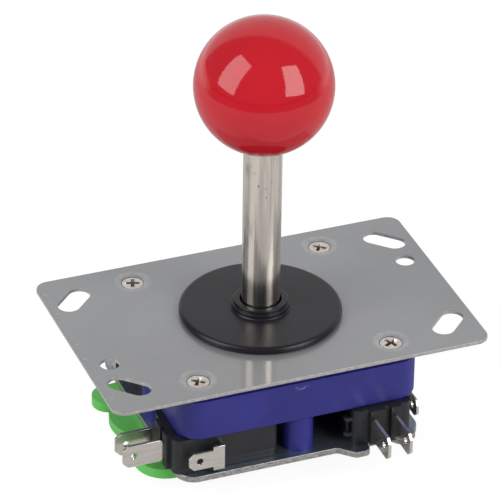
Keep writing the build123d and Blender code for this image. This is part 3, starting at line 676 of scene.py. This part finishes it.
def screw_mesh():
    """One countersunk screw with its head's rim at zero: a low crown and a driver's recess."""
    crown, rim, point = 0.14 * MM, 0.12 * MM, 0.7 * MM
    profile = [(0, -SCREW_LENGTH), (SCREW_R * 0.55, -SCREW_LENGTH)]
    profile += [(SCREW_R, point - SCREW_LENGTH), (SCREW_R, SCREW_R - SCREW_HEAD_R)]
    profile += [(SCREW_HEAD_R, -rim), (SCREW_HEAD_R, 0)]
    for share in (0.92, 0.75, 0.5, 0.25):
        profile.append((SCREW_HEAD_R * share, crown * (1 - share**2)))
    profile.append((0, crown))
    screw = put("screw", turned("screw", profile, 56))
    punch = put("punch", driver_punch())
    cut = screw.modifiers.new("Recess", "BOOLEAN")
    cut.operation = "DIFFERENCE"
    cut.solver = "EXACT"
    cut.use_self = True
    cut.object = punch
    mesh = baked(screw)
    bpy.data.objects.remove(punch)
    return smoothed(mesh, SCREW_ANGLE)


def new_tree(name, **inputs):
    """A geometry nodes tree with inputs of these names and kinds, and its inputs' sockets."""
    tree = bpy.data.node_groups.new(name, "GeometryNodeTree")
    for socket, kind in inputs.items():
        tree.interface.new_socket(socket, in_out="INPUT", socket_type="NodeSocket" + kind)
    tree.interface.new_socket("Pieces", in_out="OUTPUT", socket_type="NodeSocketGeometry")
    return tree, tree.nodes.new("NodeGroupInput").outputs


def stand_on_places(tree, source, piece, socket, value):
    """Ends a tree: the piece on each place, made real, in its finish."""
    stand = tree.nodes.new("GeometryNodeInstanceOnPoints")
    real = tree.nodes.new("GeometryNodeRealizeInstances")
    paint = tree.nodes.new("GeometryNodeSetMaterial")
    result = tree.nodes.new("NodeGroupOutput")
    tree.links.new(source["Places"], stand.inputs["Points"])
    tree.links.new(piece, stand.inputs["Instance"])
    tree.links.new(value, stand.inputs[socket])
    tree.links.new(stand.outputs[0], real.inputs[0])
    tree.links.new(real.outputs[0], paint.inputs["Geometry"])
    tree.links.new(source["Finish"], paint.inputs["Material"])
    tree.links.new(paint.outputs[0], result.inputs[0])


def screw_tree():
    """Geometry nodes that stand a screw on each place, each turned its own way."""
    tree, source = new_tree(
        "Screws", Places="Geometry", Screw="Object", Flip="Float", Seed="Int", Finish="Material"
    )
    screw = tree.nodes.new("GeometryNodeObjectInfo")
    turn = tree.nodes.new("FunctionNodeRandomValue")
    turn.data_type = "FLOAT"
    turn.inputs["Max"].default_value = 2 * math.pi
    angles = tree.nodes.new("ShaderNodeCombineXYZ")
    tree.links.new(source["Screw"], screw.inputs["Object"])
    tree.links.new(source["Seed"], turn.inputs["Seed"])
    tree.links.new(source["Flip"], angles.inputs["X"])
    tree.links.new(turn.outputs[1], angles.inputs["Z"])
    stand_on_places(tree, source, screw.outputs["Geometry"], "Rotation", angles.outputs[0])
    return tree


def tick_tree():
    """Geometry nodes that lay a small ridge on each place, uneven in length and width."""
    tree, source = new_tree(
        "Ticks", Places="Geometry", Size="Vector", Seed="Int", Finish="Material"
    )
    ridge = tree.nodes.new("GeometryNodeMeshUVSphere")
    ridge.inputs["Segments"].default_value = 12
    ridge.inputs["Rings"].default_value = 6
    ridge.inputs["Radius"].default_value = 0.5
    shape = tree.nodes.new("GeometryNodeTransform")
    smooth = tree.nodes.new("GeometryNodeSetShadeSmooth")
    vary = tree.nodes.new("FunctionNodeRandomValue")
    vary.data_type = "FLOAT_VECTOR"
    vary.inputs["Min"].default_value = (0.8, 0.6, 0.5)
    vary.inputs["Max"].default_value = (1.0, 1.2, 1.1)
    tree.links.new(ridge.outputs["Mesh"], shape.inputs["Geometry"])
    tree.links.new(source["Size"], shape.inputs["Scale"])
    tree.links.new(shape.outputs[0], smooth.inputs[0])
    tree.links.new(source["Seed"], vary.inputs["Seed"])
    stand_on_places(tree, source, smooth.outputs[0], "Scale", vary.outputs[0])
    return tree


def on_places(name, tree, places, **inputs):
    """The mesh that a geometry nodes tree makes from these places."""
    mesh = bpy.data.meshes.new(name)
    mesh.from_pydata(places, [], [])
    thing = put(name, mesh)
    rows = thing.modifiers.new(name, "NODES")
    rows.node_group = tree
    for socket in tree.interface.items_tree:
        if socket.name in inputs:
            rows[socket.identifier] = inputs[socket.name]
    return baked(thing)


def make_screws():
    """The four screws of the mounting plate and the four of the base plate."""
    screw = put("one_screw", screw_mesh())
    tree = screw_tree()
    sunk = BASE_BOTTOM + 0.14 * MM
    plate = [
        (x * PLATE_SCREW_X, y * PLATE_SCREW_Y, PLATE_SCREW_TOP) for x in (-1, 1) for y in (-1, 1)
    ]
    base = [(sign * x, sign * y, sunk) for x, y in POSTS for sign in (1, -1)]
    sets = (
        ("plate_screw_heads", "plate_screws", plate, 0.0, 3),
        ("base_screw_heads", "base_screws", base, math.pi, 8),
    )
    for name, node, places, flip, seed in sets:
        finish = FINISHES["screw_nickel"]
        mesh = on_places(name, tree, places, Screw=screw, Flip=flip, Seed=seed, Finish=finish)
        shown_piece(name, mesh, node)
    bpy.data.objects.remove(screw)


def make_ticks():
    """The pinched marks that the shear left along the plate's left edge."""
    inset, size = 1.2 * MM, (2.3 * MM, 0.28 * MM, 0.08 * MM)
    along = (25.5, 22.0, 16.2, 10.6, 4.6, 1.0, -5.8, -14.8, -24.3)
    places = [(inset - PLATE_HALF_LENGTH, y * MM, 0.0) for y in along]
    finish = FINISHES["washer_steel"]
    mesh = on_places("shear_ticks", tick_tree(), places, Size=size, Seed=5, Finish=finish)
    ticks = put("shear_ticks", mesh)
    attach(ticks, body_of("mounting_plate"))


def make_pieces():
    """Every piece that is shown in place of a node, then the finish of the other nodes."""
    make_ball()
    make_shaft()
    make_disc()
    make_spring()
    make_screws()
    make_ticks()
    eased("mounting_plate", SHEET_ROUND)
    eased("base_plate", SHEET_ROUND)
    eased("housing", HOUSING_ROUND, shape=set_back_rim)
    eased("restrictor_gate", GATE_ROUND)
    for side in SIDES:
        eased(f"{side}_switch_case", SWITCH_ROUND)
        eased(f"{side}_switch_cover", SWITCH_ROUND)
        for terminal in ("no", "nc", "com"):
            eased(f"{side}_switch_{terminal}_terminal", TERMINAL_ROUND)
    for name, node in frame["nodes"].items():
        smoothed(node.data, NODE_ANGLE)
        if not node.material_slots:
            node.data.materials.append(None)
        for slot in node.material_slots:
            slot.material = FINISHES[SLOT_OF[name]]


# The photograph's view: the camera's azimuth, elevation and roll about its aim, and its lens
VIEW_AZIMUTH = math.radians(-21.44)
VIEW_ELEVATION = math.radians(31.87)
VIEW_ROLL = math.radians(0.864)
VIEW_AIM = Vector((-3.077, 0.0, 18.875)) * MM
VIEW_DISTANCE = 1059.1 * MM
LENS = 303.68
SENSOR = 36.0

# The soft boxes, 1 m from the ball: azimuth, elevation, width, height, and the ways that the
# back and the right-hand side of each point
SOFT_BOXES = {
    "left_box": (-86.8, 34.1, 0.629, 1.012, (-0.900, -0.151, 0.409), (-0.130, 0.988, 0.078)),
    "right_box": (36.9, 29.4, 0.563, 0.867, (0.230, -0.959, 0.167), (-0.964, -0.201, 0.175)),
}
BOX_POWER = 7.0
BOX_COLOUR = (1.0, 0.985, 0.97)

# The studio round the lever: pale in one direction, dim elsewhere, and white to the camera
PALE_AZIMUTH = math.radians(147)
PALE_ELEVATION = math.radians(5)
PALE_ANGLES = math.radians(64), math.radians(54)  # where the pale part starts and is full
DIM_LEVEL = 0.22
PALE_LEVEL = 0.95

# The table top: its size, where reflections show its end in front and its glow far behind,
# and how bright it is
TABLE_REACH = 6.0
TABLE_DROP = 0.2 * MM
TABLE_END = 0.36, 0.39
TABLE_BACK = 0.25, 0.6
TABLE_GREY = 0.8


def toward(azimuth, elevation):
    """The direction from the object to where a viewer at these angles stands."""
    level = math.cos(elevation)
    return Vector((math.sin(azimuth) * level, -math.cos(azimuth) * level, math.sin(elevation)))


def stood(place, right, up, back):
    """The matrix of a camera or lamp at a place, by its three directions."""
    return Matrix.LocRotScale(place, Matrix((right, up, back)).transposed(), None)


def make_camera():
    """The camera that took the photograph."""
    back = toward(VIEW_AZIMUTH, VIEW_ELEVATION)
    right = Vector((math.cos(VIEW_AZIMUTH), math.sin(VIEW_AZIMUTH), 0.0))
    up = back.cross(right)
    rolled_right = right * math.cos(VIEW_ROLL) + up * math.sin(VIEW_ROLL)
    rolled_up = up * math.cos(VIEW_ROLL) - right * math.sin(VIEW_ROLL)
    lens = bpy.data.cameras.new("camera")
    lens.lens = LENS
    lens.sensor_width = SENSOR
    lens.clip_start = 0.05
    lens.clip_end = 20.0
    camera = put("camera", lens)
    camera.matrix_world = stood(VIEW_AIM + back * VIEW_DISTANCE, rolled_right, rolled_up, back)
    bpy.context.scene.camera = camera


def soft_box(name, azimuth, elevation, width, height, facing, right):
    """A rectangular soft box whose mirror image shows on the ball."""
    light = bpy.data.lights.new(name, "AREA")
    light.shape = "RECTANGLE"
    light.size = width
    light.size_y = height
    light.energy = BOX_POWER
    light.color = BOX_COLOUR
    place = Vector((0, 0, BALL_HEIGHT)) + toward(math.radians(azimuth), math.radians(elevation))
    back = Vector(facing).normalized()
    across = Vector(right)
    across = (across - back * across.dot(back)).normalized()
    put(name, light).matrix_world = stood(place, across, back.cross(across), back)


def make_lights():
    """Two soft boxes in front, and a studio that is pale behind and dim in front."""
    for name, box in SOFT_BOXES.items():
        soft_box(name, *box)
    world = bpy.context.scene.world or bpy.data.worlds.new("studio")
    bpy.context.scene.world = world
    world.use_nodes = True
    tree = world.node_tree
    tree.nodes.clear()
    place = tree.nodes.new("ShaderNodeTexCoord")
    along = tree.nodes.new("ShaderNodeVectorMath")
    along.operation = "DOT_PRODUCT"
    along.inputs[1].default_value = toward(PALE_AZIMUTH, PALE_ELEVATION)
    spread = tree.nodes.new("ShaderNodeMapRange")
    spread.interpolation_type = "SMOOTHSTEP"
    spread.inputs["From Min"].default_value = math.cos(PALE_ANGLES[0])
    spread.inputs["From Max"].default_value = math.cos(PALE_ANGLES[1])
    spread.inputs["To Min"].default_value = DIM_LEVEL
    spread.inputs["To Max"].default_value = PALE_LEVEL
    ray = tree.nodes.new("ShaderNodeLightPath")
    level = tree.nodes.new("ShaderNodeMix")
    level.inputs["B"].default_value = 1.0
    glow = tree.nodes.new("ShaderNodeBackground")
    result = tree.nodes.new("ShaderNodeOutputWorld")
    tree.links.new(place.outputs["Generated"], along.inputs[0])
    tree.links.new(along.outputs["Value"], spread.inputs["Value"])
    tree.links.new(ray.outputs["Is Camera Ray"], level.inputs["Factor"])
    tree.links.new(spread.outputs[0], level.inputs["A"])
    tree.links.new(level.outputs[0], glow.inputs["Strength"])
    tree.links.new(glow.outputs[0], result.inputs["Surface"])


def table_finish():
    """White to the camera save for the lever's shadow; grey in reflections, dark past its end."""
    f = Finish("table_white", (TABLE_GREY,) * 3, 0.9, specular_ior_level=0.0)
    ray = f.node("ShaderNodeLightPath").outputs
    seen, mirrored = ray["Is Camera Ray"], ray["Is Glossy Ray"]
    length = f.node("ShaderNodeVectorMath", {0: f.place}, operation="LENGTH")
    from_middle = length.outputs["Value"]
    ahead = {0: f.place, 1: toward(VIEW_AZIMUTH, 0.0)}
    nearer = f.node("ShaderNodeVectorMath", ahead, operation="DOT_PRODUCT")
    front = f.between(f.calc("DIVIDE", nearer.outputs["Value"], from_middle), -0.5, 0.1)
    past_end = f.times(f.between(from_middle, *TABLE_END), front)
    far_behind = f.times(f.between(from_middle, *TABLE_BACK), f.minus(1.0, front))
    glow = f.plus(f.times(seen, 0.93), f.times(mirrored, f.times(far_behind, 0.6)))
    f.give("Emission Color", (1.0, 1.0, 1.0, 1.0))
    f.give("Emission Strength", glow)
    less_seen = f.times(seen, -0.68)
    less_mirrored = f.times(mirrored, f.between(past_end, 0.0, 1.0, -0.12, -0.66))
    grey = f.plus(f.plus(TABLE_GREY, less_seen), less_mirrored)
    f.give("Base Color", f.node("ShaderNodeCombineColor", {0: grey, 1: grey, 2: grey}).outputs[0])
    return f.material


def make_floor():
    """The white table top, just under the lever."""
    mesh = bpy.data.meshes.new("table")
    height = cad_box[0].z - TABLE_DROP
    sides = ((-1, -1), (1, -1), (1, 1), (-1, 1))
    corners = [(x * TABLE_REACH, y * TABLE_REACH, height) for x, y in sides]
    mesh.from_pydata(corners, [], [(0, 1, 2, 3)])
    mesh.materials.append(table_finish())
    put("table", mesh)


make_pieces()
make_camera()
make_lights()
make_floor()

bpy.context.scene.view_settings.view_transform = "Standard"
